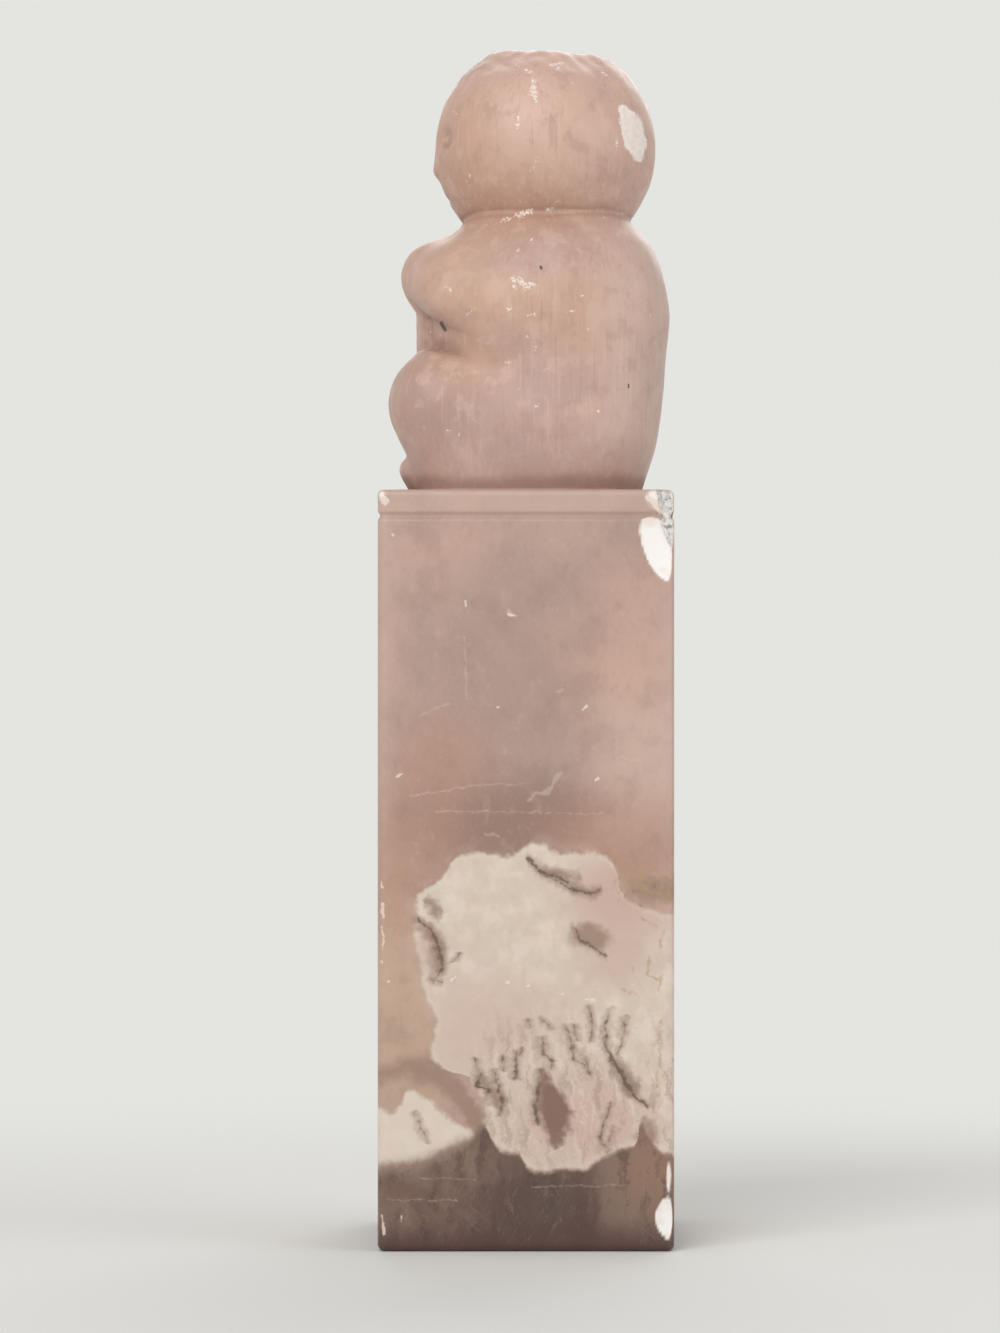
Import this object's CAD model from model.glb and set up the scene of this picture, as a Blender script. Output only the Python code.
"""Looks of a carved seal stone: a polished square block whose upper end is a small seated figure.

Blender works in metres with Z up. The carver's sums below are in millimetres from the centre of the seal
face, and the figure looks along -Y.
"""

import math

import bpy
import numpy as np
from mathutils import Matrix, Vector


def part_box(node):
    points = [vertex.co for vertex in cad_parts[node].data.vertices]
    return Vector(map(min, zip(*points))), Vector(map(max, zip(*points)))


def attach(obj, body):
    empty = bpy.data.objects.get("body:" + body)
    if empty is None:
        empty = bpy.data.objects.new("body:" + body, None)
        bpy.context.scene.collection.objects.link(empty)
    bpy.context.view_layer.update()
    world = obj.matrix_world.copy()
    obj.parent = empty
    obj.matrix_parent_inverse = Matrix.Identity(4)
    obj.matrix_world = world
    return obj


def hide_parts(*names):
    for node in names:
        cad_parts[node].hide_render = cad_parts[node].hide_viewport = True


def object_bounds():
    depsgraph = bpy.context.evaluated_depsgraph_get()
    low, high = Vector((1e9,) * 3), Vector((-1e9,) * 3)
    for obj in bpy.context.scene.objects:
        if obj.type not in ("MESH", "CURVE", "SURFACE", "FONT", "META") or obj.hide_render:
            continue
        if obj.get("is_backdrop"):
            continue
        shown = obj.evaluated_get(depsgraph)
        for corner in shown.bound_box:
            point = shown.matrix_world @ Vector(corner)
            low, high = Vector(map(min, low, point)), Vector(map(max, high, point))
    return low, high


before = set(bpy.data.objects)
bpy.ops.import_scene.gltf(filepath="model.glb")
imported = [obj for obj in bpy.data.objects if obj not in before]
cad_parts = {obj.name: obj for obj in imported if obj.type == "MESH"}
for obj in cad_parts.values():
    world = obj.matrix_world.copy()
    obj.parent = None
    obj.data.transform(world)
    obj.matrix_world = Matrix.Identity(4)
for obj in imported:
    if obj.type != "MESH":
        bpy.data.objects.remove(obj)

bl_info = {
    "name": "Carved Seal Stone",
    "version": (1, 0, 0),
    "blender": (4, 5, 0),
    "location": "3D View > Sidebar > Seal",
    "description": "Carves a worn seal stone with a seated figure knob and sets it on a studio stage",
    "category": "Add Mesh",
}

NODE = "seal_stone"
LOW, HIGH = (np.array(corner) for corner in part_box(NODE))
MM = 1000.0
TINY = 1e-6
FAR = 1e3

# Block: its edges' rounding at the rim and at the seal face, and the border groove below the rim
BLOCK_HEIGHT = 64.2
RIM_EDGE = 0.5
FOOT_EDGE = 0.6
GROOVE_BELOW_RIM = 2.22
GROOVE_HALF_WIDTH = 0.42
GROOVE_DEPTH = 0.22

# Torso: half width, front reach and back reach at each rise over the shelf
TORSO_RISES = np.array([0, 5, 12.4, 16.2, 20.9, 23.6, 25.6])
TORSO_HALF_WIDTHS = np.array([10.1, 11.1, 11.35, 11.1, 9.7, 7.4, 5])
TORSO_FRONTS = np.array([10.8, 11.5, 10.6, 10.4, 8.9, 7.1, 5])
TORSO_BACKS = np.array([8, 9.45, 10.2, 10.4, 9.1, 6.9, 4.6])
TORSO_SET_BACK = 2.0
TORSO_SQUARENESS = 2.6

# Limbs: each joint's place to the side, to the front and over the shelf, and its radius
ARM = [(5.2, -2.4, 17, 5.7), (6.3, 1.3, 15.4, 4.9), (5, 5.6, 17.2, 3.9), (1.9, 7.5, 18.55, 3.2)]
LEG = [(4.9, -3.4, 4.6, 5.9), (6.3, 6.85, 7.45, 4.6), (5.9, 4.6, 1.2, 4.4)]
TOE = [
    (5.2, 6.4, 1.3, 1.5), (5.7, 9.5, 1.95, 0.87), (3.4, 9.72, 1.95, 0.87), (3.4, 9.07, 0.75, 0.8),
    (5.7, 8.85, 0.75, 0.8),
]
ARM_BLEND = 2.2
LEG_BLEND = 2.4
JOINT_BLEND = 1.0
TOE_BLEND = 0.5

# Lap notch: where it begins and how far it overruns that, the slopes of its floor and roof, how far it goes
# into the torso's skin and where that depth begins to run out
NOTCH_BACK = 4.7
NOTCH_OVERRUN = 0.6
NOTCH_RISE = 11.3
NOTCH_HEIGHT = 1.2
NOTCH_FLOOR = math.radians(16)
NOTCH_ROOF = math.radians(37)
NOTCH_DEPTH = 0.35
NOTCH_RUNOUT_FROM = 7
NOTCH_RUNOUT = 0.5
NOTCH_BLEND = 0.9

# Strip of robe left between the two notches
STRIP_HALF_WIDTH = 2.8
STRIP_FORWARD = 9.4
STRIP_DEPTH = 2.6
STRIP_RISE = 0.5
STRIP_HALF_HEIGHT = 6.7
STRIP_BLEND = 0.5

# Head: a filed ball with knife cuts, each by the side that it leans to, its lean and its height
HEAD_RISE = 29.8
HEAD_RADIUS = 9.52
HEAD_CENTRE = np.array([0, 1.75, BLOCK_HEIGHT + HEAD_RISE])
CROWN_CUTS = [
    (170, 4, 8.12), (55, 38, 9.1), (118, 38, 9.1), (-60, 38, 9.1), (-125, 38, 9.1), (128, 62, 9.28),
    (-132, 62, 9.28),
]
CUT_BLEND = 0.35
CROWN_UNREST = 0.12
CROWN_FOOT, CROWN_TOP = 98.4, 100.8
NECK_BLEND = 0.45
SHELF_BLEND = 0.2

# Face: eggs on the ball, by turn aside, elevation, reach of the middle and half width, height and thickness
EYE_TURN = 21
SOCKET = (3, 9.92, (2.1, 1.25, 1.0))
SOCKET_BLEND = 0.5
LID = (3, 8.6, (1.45, 0.65, 0.8))
LID_BLEND = 0.15
MOUTH = (-27, 9.74, (1.7, 0.3, 0.75))
MOUTH_BLEND = 0.3
NOSE_TIP = -11
NOSE_TOP = 4
NOSE_RADIUS = 0.9
NOSE_TAPER = 0.45
NOSE_PROUD = 0.38
NOSE_BLEND = 0.4

# Flakes lost from the block's arrises: side, height, reach over the face, half length and depth
ARRIS_CHIPS = [
    (1, 64.2, 2.6, 1.1, 0.45), (1, 2.9, 1.7, 2.1, 0.38), (1, 6.2, 0.75, 2.5, 0.26),
    (-1, 64.2, 0.75, 0.9, 0.5), (-1, 2.4, 0.35, 1.4, 0.15),
]
# An egg's half axes are drawn out by this much, because the face cuts it half way from its middle
SPREAD = 1 / math.sqrt(0.75)

# Smooth flake beside the broken arris: centre, half lengths and lean in degrees
LEAF = (12.62, 11.2, 59.35), (0.5, 1.22, 2.8), 20

# Rough break along the top right arris, as a rod: height, how far out of both faces, and radius at its ends
BREAK = (56.8, 1.2, 1.7), (64.4, 1.2, 3.1)
FLAKE_EDGE = 0.05
BREAK_EDGE = 0.03

# Unevenness as waves: height, pitch and seed. The file's heights are shares of the filing depth
FILE_WAVES = (1, 3.1, 1), (0.6, 1.7, 4)
FLAKE_WAVES = (0.025, 1.6, 2), (0.025, 0.95, 5)
BREAK_WAVES = (0.14, 1.3, 3), (0.1, 0.7, 7)

# Rows of points: where each stretch of them ends and how many even rows take it there. On the seal face that
# is a share of the half width, on the crown an angle in degrees and else a height or a rise
FACE_ROWS = [(0.04, 0), (0.6, 5), (0.97, 4)]
SIDE_ROWS = [(FOOT_EDGE, 0), (8, 24), (55.8, 10), (61.4, 28), (62.5, 9), (BLOCK_HEIGHT - RIM_EDGE, 7)]
SHELF_SHARES = [0.06, 0.18, 0.34, 0.5, 0.66, 0.8, 0.9, 0.96, 0.99]
FIGURE_ROWS = [(0.06, 0), (0.6, 4), (3.4, 12), (10, 20), (17.5, 50), (19.5, 10), (24.5, 26), (HEAD_RISE, 20)]
CROWN_ROWS = [(2, 0), (60, 30), (88.6, 17)]
EDGE_STEPS = 8
BODY_SIGHT = 17
HEAD_SIGHT = 13
SETTLING_ROUNDS = 7


def smooth_step(low, high, value):
    """Nought at low and one at high, with a cubic ease between."""
    t = np.clip((value - low) / (high - low), 0, 1)
    return t * t * (3 - 2 * t)


def blended(first, second, width):
    """The nearer of two distances, less the square of what their gap leaves of a width, over four widths."""
    overlap = np.clip(width - np.abs(first - second), 0, None) / width
    return np.minimum(first, second) - overlap**2 * width / 4


def without(solid, cut, width):
    """The farther of the solid's distance and minus the cut's, rounded over a width."""
    return -blended(-solid, cut, width)


def beside_line(place, start, end):
    """Each place's share of the way along a line, held between its ends, and its distance from the line."""
    along = end - start
    share = np.clip((place - start) @ along / (along @ along), 0, 1)
    return share, np.linalg.norm(place - start - share[..., None] * along, axis=-1)


def limb(place, joints):
    """Distance to the line through the joints less a radius that changes evenly from joint to joint."""
    nearest = None
    points = [(np.array([side, -ahead, BLOCK_HEIGHT + rise]), radius) for side, ahead, rise, radius in joints]
    for (start, wide), (end, narrow) in zip(points, points[1:]):
        share, gap = beside_line(place, start, end)
        stretch = gap - (wide + (narrow - wide) * share)
        nearest = stretch if nearest is None else blended(nearest, stretch, JOINT_BLEND)
    return nearest


def at_rise(sizes, rise):
    """A cubic through the torso's sizes, at each rise as steep as the line between its neighbours."""
    last = len(TORSO_RISES) - 1
    index = np.arange(last + 1)
    before, after = np.maximum(index - 1, 0), np.minimum(index + 1, last)
    slopes = (sizes[after] - sizes[before]) / (TORSO_RISES[after] - TORSO_RISES[before])
    height = np.clip(rise, TORSO_RISES[0], TORSO_RISES[-1])
    low = np.clip(np.searchsorted(TORSO_RISES, height, side="right") - 1, 0, last - 1)
    span = TORSO_RISES[low + 1] - TORSO_RISES[low]
    t = (height - TORSO_RISES[low]) / span
    ease = t * t * (3 - 2 * t)
    return (
        sizes[low] + (sizes[low + 1] - sizes[low]) * ease
        + span * slopes[low] * t * (1 - t) ** 2 - span * slopes[low + 1] * t * t * (1 - t)
    )


def torso(place):
    """Level distance from the centre line less the reach of a superellipse with its own depth each way."""
    rise = place[..., 2] - BLOCK_HEIGHT
    y = place[..., 1] - TORSO_SET_BACK
    reach = np.maximum(np.hypot(place[..., 0], y), TINY)
    deep = np.where(y > 0, at_rise(TORSO_BACKS, rise), at_rise(TORSO_FRONTS, rise))
    wide = at_rise(TORSO_HALF_WIDTHS, rise)
    power = TORSO_SQUARENESS
    fill = (np.abs(place[..., 0] / wide) ** power + np.abs(y / deep) ** power) ** (1 / power)
    return reach - reach / np.maximum(fill, TINY)


def egg(place, middle, half_axes, axes=np.eye(3)):
    """Distance to an ellipsoid: its scaled radius times that radius less one, over its gradient's length."""
    local = (place - middle) @ axes.T
    scaled = np.linalg.norm(local / half_axes, axis=-1)
    steepness = np.linalg.norm(local / np.square(half_axes), axis=-1)
    return scaled * (scaled - 1) / np.maximum(steepness, TINY)


def gaze(aside, raised):
    """A direction from the head's centre, turned aside from straight ahead and then raised, in degrees."""
    turn, lift = math.radians(aside), math.radians(raised)
    return np.array([math.sin(turn) * math.cos(lift), -math.cos(turn) * math.cos(lift), math.sin(lift)])


def on_head(place, aside, raised, reach, half_axes):
    """Distance to an egg that lies flat on the ball: half width, half height and half thickness."""
    out = gaze(aside, raised)
    across = np.cross([0, 0, 1], out)
    across /= np.linalg.norm(across)
    axes = np.array([across, np.cross(out, across), out])
    return egg(place, HEAD_CENTRE + out * reach, np.array(half_axes), axes)


def body(place):
    """The seated body: torso, arms, legs and toes run together, with the lap notches cut from the front."""
    folded = np.stack([np.abs(place[..., 0]), place[..., 1], place[..., 2]], axis=-1)
    skin = torso(folded)
    for joints, width in ((ARM, ARM_BLEND), (LEG, LEG_BLEND), (TOE, TOE_BLEND)):
        skin = blended(skin, limb(folded, joints), width)
    rise = folded[..., 2] - BLOCK_HEIGHT - NOTCH_RISE
    ahead = -NOTCH_BACK - folded[..., 1]
    floor = (np.tan(NOTCH_FLOOR) * ahead - rise) * np.cos(NOTCH_FLOOR)
    roof = (rise - NOTCH_HEIGHT - np.tan(NOTCH_ROOF) * ahead) * np.cos(NOTCH_ROOF)
    wedge = np.maximum(np.maximum(floor, roof), -ahead - NOTCH_OVERRUN)
    wedge = np.maximum(wedge, STRIP_HALF_WIDTH - folded[..., 0])
    runout = NOTCH_RUNOUT * np.clip(folded[..., 1] + NOTCH_RUNOUT_FROM, 0, None)
    wedge = np.maximum(wedge, runout - torso(folded) - NOTCH_DEPTH)
    skin = without(skin, wedge, NOTCH_BLEND)
    across = folded[..., 0] / STRIP_HALF_WIDTH
    deep = (folded[..., 1] + STRIP_FORWARD - STRIP_DEPTH / 2) / (STRIP_DEPTH / 2)
    strip = (np.hypot(across, deep) - 1) * STRIP_DEPTH / 2
    strip = np.maximum(strip, np.abs(rise - STRIP_RISE) - STRIP_HALF_HEIGHT)
    skin = blended(skin, strip, STRIP_BLEND)
    return np.maximum(skin, place[..., 2] - BLOCK_HEIGHT - TORSO_RISES[-1])


def head(place):
    """The ball less what stands over each knife cut, with sockets, lids, nose and mouth in low relief."""
    ball = np.linalg.norm(place - HEAD_CENTRE, axis=-1) - HEAD_RADIUS
    for side, lean, height in CROWN_CUTS:
        ball = without(ball, height - (place - HEAD_CENTRE) @ gaze(side, 90 - lean), CUT_BLEND)
    unrest = ripple(place, 3.4, 9.0) * (0.6 + ripple(place, 2.3, 5.0)) + 0.4 * ripple(place, 1.5, 2.0)
    ball = ball + CROWN_UNREST * unrest * smooth_step(CROWN_FOOT, CROWN_TOP, place[..., 2])
    for turn in (EYE_TURN, -EYE_TURN):
        ball = without(ball, on_head(place, turn, *SOCKET), SOCKET_BLEND)
        ball = blended(ball, on_head(place, turn, *LID), LID_BLEND)
    tip = HEAD_CENTRE + gaze(0, NOSE_TIP) * (HEAD_RADIUS + NOSE_PROUD - NOSE_RADIUS)
    bridge = HEAD_CENTRE + gaze(0, NOSE_TOP) * (HEAD_RADIUS - NOSE_RADIUS)
    share, gap = beside_line(place, tip, bridge)
    ball = blended(ball, gap - NOSE_RADIUS * (1 - NOSE_TAPER * share), NOSE_BLEND)
    return without(ball, on_head(place, 0, *MOUTH), MOUTH_BLEND)


def ripple(place, pitch, seed):
    """A smooth, even unrest between about -1 and 1: three sine waves crossing at odd angles over a pitch."""
    turn = 2 * np.pi / pitch
    x, y, z = (place[..., axis] * turn for axis in range(3))
    return (
        np.sin(0.93 * x + 0.41 * y + 0.27 * z + seed) + np.sin(-0.37 * x + 0.88 * y + 0.52 * z + 2.1 * seed)
        + np.sin(0.31 * x - 0.45 * y + 0.97 * z + 3.7 * seed) * np.cos(0.7 * x - 0.6 * z + seed)
    ) / 3


def uneven(place, waves):
    """The sum of several ripples, each by its height, pitch and seed."""
    return sum(height * ripple(place, pitch, seed) for height, pitch, seed in waves)


def block(place, shape):
    """A square with round corners carried up, rounded at both ends, with a shallow groove below the rim."""
    half = shape.block_width * MM / 2
    corner = shape.corner_radius * MM
    z = place[..., 2]
    groove = smooth_step(GROOVE_HALF_WIDTH, 0, np.abs(z - (BLOCK_HEIGHT - GROOVE_BELOW_RIM)))
    plan = np.abs(place[..., :2]) - (half - corner)
    outside = np.linalg.norm(np.maximum(plan, 0), axis=-1)
    level = outside + np.minimum(plan.max(axis=-1), 0) - corner + GROOVE_DEPTH * groove
    upright = np.where(z > BLOCK_HEIGHT / 2, z - BLOCK_HEIGHT, -z)
    edge = np.where(z > BLOCK_HEIGHT / 2, RIM_EDGE, FOOT_EDGE)
    a, b = level + edge, upright + edge
    return np.hypot(np.maximum(a, 0), np.maximum(b, 0)) + np.minimum(np.maximum(a, b), 0) - edge


def whole(place, shape):
    """Block, body and head as one stone, before any damage."""
    knob = blended(body(place), head(place), NECK_BLEND)
    knob = knob + shape.filing_depth * MM * uneven(place, FILE_WAVES)
    return blended(block(place, shape), knob, SHELF_BLEND)


def flakes(place, shape):
    """Distance to the nearest flake lost: eggs on the arrises, and a leaning one beside the broken arris."""
    half = shape.block_width * MM / 2
    lost = np.full(place.shape[:-1], FAR)
    for side, height, reach, length, depth in ARRIS_CHIPS:
        middle = np.array([half + depth, side * half, height])
        lost = np.minimum(lost, egg(place, middle, np.array([2 * depth, reach * SPREAD, length * SPREAD])))
    middle, radii, lean = LEAF
    c, s = math.cos(math.radians(lean)), math.sin(math.radians(lean))
    axes = np.array([[1, 0, 0], [0, c, s], [0, -s, c]])
    return np.minimum(lost, egg(place, np.array(middle), np.array(radii) * SPREAD, axes))


def rubble(place, shape):
    """Distance to the rough break: a rod with a ragged skin that widens as it rises along the arris."""
    half = shape.block_width * MM / 2
    (low, out, narrow), (high, _, wide) = BREAK
    share = np.clip((place[..., 2] - low) / (high - low), 0, 1)
    away = place - np.stack([np.full_like(share, half + out)] * 2 + [low + share * (high - low)], axis=-1)
    return np.linalg.norm(away, axis=-1) - narrow - share * (wide - narrow) + uneven(place, BREAK_WAVES)


def carved(place, shape):
    """The finished stone: the whole one less its flakes and its rough break."""
    chipped = without(whole(place, shape), flakes(place, shape) + uneven(place, FLAKE_WAVES), FLAKE_EDGE)
    return without(chipped, rubble(place, shape), BREAK_EDGE)


def slope(field, place, step=0.02):
    """The field, and its gradient by differences of one small step along each axis."""
    here = field(place)
    return here, np.stack([(field(place + step * axis) - here) / step for axis in np.eye(3)], axis=-1)


def settled(field, place, rounds, longest=0.4, flattest=0.2):
    """Points moved onto the field's skin: each round steps down the gradient by the distance left."""
    for _ in range(rounds):
        here, rise = slope(field, place)
        steep = np.maximum((rise**2).sum(axis=-1), flattest)
        place = place - np.clip(here / steep, -longest, longest)[..., None] * rise
    return place


def sighted(field, origin, direction, farthest, strides=90, halvings=12):
    """Where rays that come in from outside first meet the skin: even strides inwards, then halvings."""
    reach = np.full(direction.shape[:-1], float(farthest))
    stride = farthest / strides
    open_air = np.ones(reach.shape, bool)
    for _ in range(strides - 1):
        nearer = reach - stride
        open_air &= field(origin + direction * nearer[..., None]) > 0
        reach = np.where(open_air, nearer, reach)
        if not open_air.any():
            break
    inside, outside = reach - stride, reach
    for _ in range(halvings):
        middle = (inside + outside) / 2
        beyond = field(origin + direction * middle[..., None]) > 0
        outside, inside = np.where(beyond, middle, outside), np.where(beyond, inside, middle)
    return origin + direction * outside[..., None]


def graded(stops):
    """Row positions: each stop gives where its stretch ends and how many even rows it takes to get there."""
    rows = [np.array([stops[0][0]], float)]
    for (start, _), (end, count) in zip(stops, stops[1:]):
        rows.append(np.linspace(start, end, count + 1)[1:])
    return np.concatenate(rows)


def block_plan(columns, half, corner, evenness=0.3):
    """A square's outline with round corners, anticlockwise from the middle of the +X side.

    Within each eighth the way from the corner grows as a share of the step plus its cube, so that points
    crowd at the corners.
    """
    share = np.arange(columns) / columns * 4
    quarter = np.floor(share)
    t = 2 * (share - quarter) - 1
    arc = corner * np.pi / 4
    way = np.sign(t) * (half - corner + arc) * (evenness * np.abs(t) + (1 - evenness) * np.abs(t) ** 3)
    swing = np.pi / 4 + np.clip(way / corner, -np.pi / 4, np.pi / 4)
    straight = np.maximum(np.abs(way) - arc, 0)
    x = half - corner + corner * np.cos(swing) - np.where(way > 0, straight, 0)
    y = half - corner + corner * np.sin(swing) - np.where(way < 0, straight, 0)
    turn = quarter * np.pi / 2
    return np.stack([x * np.cos(turn) - y * np.sin(turn), x * np.sin(turn) + y * np.cos(turn)], axis=-1)


def block_rows(plan, half):
    """The block from near the seal face's middle out, round its edge, up its side, over the rim and in."""
    swing = np.linspace(0, np.pi / 2, EDGE_STEPS)
    face = half * (1 - graded(FACE_ROWS))
    side = graded(SIDE_ROWS)[1:]
    inset = np.concatenate([
        face, FOOT_EDGE * (1 - np.sin(swing)), np.zeros(len(side)), RIM_EDGE * (1 - np.cos(swing[1:])),
    ])
    height = np.concatenate([
        np.zeros(len(face)), FOOT_EDGE * (1 - np.cos(swing)), side,
        BLOCK_HEIGHT - RIM_EDGE * (1 - np.sin(swing[1:])),
    ])
    rows = np.empty((len(inset), len(plan), 3))
    rows[..., :2] = plan * (1 - inset[:, None, None] / half)
    rows[..., 2] = height[:, None]
    return rows


def shelf_rows(rim, foot):
    """Straight across the shelf from the rim's last ring to the figure's first one, closer at both ends."""
    across = rim + (foot - rim) * np.array(SHELF_SHARES)[:, None, None]
    across[..., 2] = BLOCK_HEIGHT
    return across


def figure_rows(columns, field):
    """The figure: level sight lines up to the head's middle, then lines from there that rise to the crown."""
    angle = 2 * np.pi * np.arange(columns) / columns
    level = np.stack([np.cos(angle), np.sin(angle), np.zeros(columns)], axis=-1)
    rises = graded(FIGURE_ROWS)
    origin = np.zeros((len(rises), 1, 3))
    origin[:, 0, 1] = TORSO_SET_BACK + (HEAD_CENTRE[1] - TORSO_SET_BACK) * np.clip(rises / HEAD_RISE, 0, 1)
    origin[:, 0, 2] = BLOCK_HEIGHT + rises
    lower = sighted(field, origin, np.broadcast_to(level, (len(rises), columns, 3)), BODY_SIGHT)
    raised = np.radians(graded(CROWN_ROWS))[:, None, None]
    out = np.cos(raised) * level + np.sin(raised) * np.array([0, 0, 1])
    return np.concatenate([lower, sighted(field, HEAD_CENTRE[None, None], out, HEAD_SIGHT)])


def closed_mesh(name, rows):
    """A mesh from rings of equally many points, anticlockwise from above, with a hub closing each end.

    No point is left under the floor.
    """
    count, columns = rows.shape[:2]
    ring = np.arange(columns)
    after = np.roll(ring, -1)
    base = (np.arange(count - 1) * columns)[:, None]
    quads = np.stack([base + ring, base + after, base + columns + after, base + columns + ring], axis=-1)
    first_hub, last_hub = count * columns, count * columns + 1
    last = (count - 1) * columns
    first_fan = np.stack([np.full(columns, first_hub), after, ring], axis=-1)
    last_fan = np.stack([np.full(columns, last_hub), last + ring, last + after], axis=-1)
    points = np.concatenate([rows.reshape(-1, 3), rows[0].mean(0)[None], rows[-1].mean(0)[None]])
    points[:, 2] = np.maximum(points[:, 2], 0)
    corners = np.concatenate([quads.reshape(-1), first_fan.reshape(-1), last_fan.reshape(-1)])
    sizes = np.concatenate([np.full(quads.size // 4, 4), np.full(2 * columns, 3)])
    starts = np.concatenate([[0], np.cumsum(sizes)[:-1]])
    mesh = bpy.data.meshes.new(name)
    mesh.vertices.add(len(points))
    mesh.vertices.foreach_set("co", (points / MM).astype(np.float32).reshape(-1))
    mesh.loops.add(len(corners))
    mesh.loops.foreach_set("vertex_index", corners.astype(np.int32))
    mesh.polygons.add(len(sizes))
    mesh.polygons.foreach_set("loop_start", starts.astype(np.int32))
    mesh.update(calc_edges=True)
    mesh.validate()
    mesh.shade_smooth()
    return mesh, points


def nearness(points, strokes, reach):
    """How near points on the +X side are to the nearest stroke: one on it, and nought beyond the reach."""
    flat = points[:, 1:]
    gap = np.full(len(points), FAR)
    for *ends, width in strokes:
        gap = np.minimum(gap, beside_line(flat, np.array(ends[:2]), np.array(ends[2:]))[1] - width)
    return smooth_step(reach, -0.12, gap) * (points[:, 0] > 3)


def surface_marks(points, shape, near=0.35, wide=1.3):
    """Masks over the points: broken stone, its rough part, hollows, worn arrises, glints and inclusions.

    A hollow is where the field grows too slowly outwards, and an arris where it falls too slowly inwards.
    """
    field = lambda place: whole(place, shape)
    uncut, rise = slope(field, points)
    normal = rise / np.maximum(np.linalg.norm(rise, axis=-1, keepdims=True), TINY)
    hollow = 1 - (field(points + normal * wide) - uncut) / wide
    arris = 1 - (uncut - field(points - normal * near)) / near
    return {
        "broken": smooth_step(0.03, 0.1, -uncut),
        "crystal": smooth_step(0.2, 0.02, rubble(points, shape)),
        "hollow": smooth_step(0.04, 0.75, hollow),
        "arris": smooth_step(0.06, 0.4, arris),
        "glint": nearness(points, GLINTS, 0.3),
        "inclusion": nearness(points, INCLUSIONS, 0.7),
    }


class Graph:
    """Adds nodes to one tree. A value, a colour or another node's output may stand for any input."""

    def __init__(self, tree):
        self.tree = tree

    def node(self, kind, inputs=None, output=0, **settings):
        made = self.tree.nodes.new(kind)
        for name, value in settings.items():
            setattr(made, name, value)
        for name, value in (inputs or {}).items():
            self.feed(made.inputs[name], value)
        return made.outputs[output]

    def feed(self, socket, value):
        if isinstance(value, bpy.types.NodeSocket):
            self.tree.links.new(value, socket)
        elif socket.type == "RGBA" and len(value) == 3:
            socket.default_value = (*value, 1)
        else:
            socket.default_value = value

    def show(self, kind, surface):
        """The output node of a material or world, and the surface that it shows."""
        self.feed(self.tree.nodes.new(kind).inputs["Surface"], surface)

    def math(self, operation, *terms):
        return self.node("ShaderNodeMath", dict(enumerate(terms)), operation=operation)

    def chain(self, operation, first, *others):
        """The operation on the first two terms, then on that result and the next term, and so on."""
        for other in others:
            first = self.math(operation, first, other)
        return first

    def times(self, *terms):
        return self.chain("MULTIPLY", *terms)

    def plus(self, *terms):
        return self.chain("ADD", *terms)

    def minus(self, *terms):
        return self.chain("SUBTRACT", *terms)

    def least(self, *terms):
        return self.chain("MINIMUM", *terms)

    def most(self, *terms):
        return self.chain("MAXIMUM", *terms)

    def line(self, value, factor, offset):
        return self.math("MULTIPLY_ADD", value, factor, offset)

    def vector(self, operation, *terms, scale=None, output=0):
        inputs = dict(enumerate(terms))
        if scale is not None:
            inputs["Scale"] = scale
        return self.node("ShaderNodeVectorMath", inputs, output, operation=operation)

    def blend(self, mask, first, second):
        made = self.tree.nodes.new("ShaderNodeMix")
        made.data_type = "RGBA"
        for index, value in ((0, mask), (6, first), (7, second)):
            self.feed(made.inputs[index], value)
        return made.outputs[2]

    def ease(self, value, low, high, bottom=0, top=1):
        inputs = {"Value": value, "From Min": low, "From Max": high, "To Min": bottom, "To Max": top}
        return self.node("ShaderNodeMapRange", inputs, interpolation_type="SMOOTHSTEP", clamp=False)

    def noise(self, place, scale, detail=2, roughness=0.5, output="Fac"):
        inputs = {"Vector": place, "Scale": scale, "Detail": detail, "Roughness": roughness}
        return self.node("ShaderNodeTexNoise", inputs, output)

    def parts(self, vector):
        made = self.tree.nodes.new("ShaderNodeSeparateXYZ")
        self.feed(made.inputs[0], vector)
        return made.outputs

    def joined(self, x, y, z):
        return self.node("ShaderNodeCombineXYZ", {0: x, 1: y, 2: z})

    def group(self, tree, inputs):
        return self.node("ShaderNodeGroup", inputs, node_tree=tree)

    def curve(self, share, points, handle):
        """A line through points, both ways between nought and one."""
        made = self.tree.nodes.new("ShaderNodeFloatCurve")
        line = made.mapping.curves[0]
        line.points[0].location, line.points[1].location = points[0], points[-1]
        for place in points[1:-1]:
            line.points.new(*place)
        for point in line.points:
            point.handle_type = handle
        made.mapping.update()
        self.feed(made.inputs["Value"], share)
        return made.outputs[0]

    def profile(self, value, span, points, reach):
        """A hand-drawn line through points, from a value within the span to one within the reach."""
        (low, high), (bottom, top) = span, reach
        share = self.line(value, 1 / (high - low), -low / (high - low))
        scaled = [((x - low) / (high - low), (y - bottom) / (top - bottom)) for x, y in points]
        return self.line(self.curve(share, scaled, "AUTO_CLAMPED"), top - bottom, bottom)


def emptied(owner):
    """The graph of a material or world, with its default nodes taken out."""
    owner.use_nodes = True
    owner.node_tree.nodes.clear()
    return Graph(owner.node_tree)


def effect(name, inputs):
    """An empty node group with named inputs and a mask as its output: its tree, graph, inputs and output."""
    tree = bpy.data.node_groups.new(name, "ShaderNodeTree")
    for label, default in inputs.items():
        kind = "NodeSocketFloat" if isinstance(default, float) else "NodeSocketVector"
        socket = tree.interface.new_socket(name=label, in_out="INPUT", socket_type=kind)
        socket.default_value = default
    tree.interface.new_socket(name="Mask", in_out="OUTPUT", socket_type="NodeSocketFloat")
    given = tree.nodes.new("NodeGroupInput")
    result = tree.nodes.new("NodeGroupOutput")
    return tree, Graph(tree), given.outputs, result.inputs["Mask"]


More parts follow.
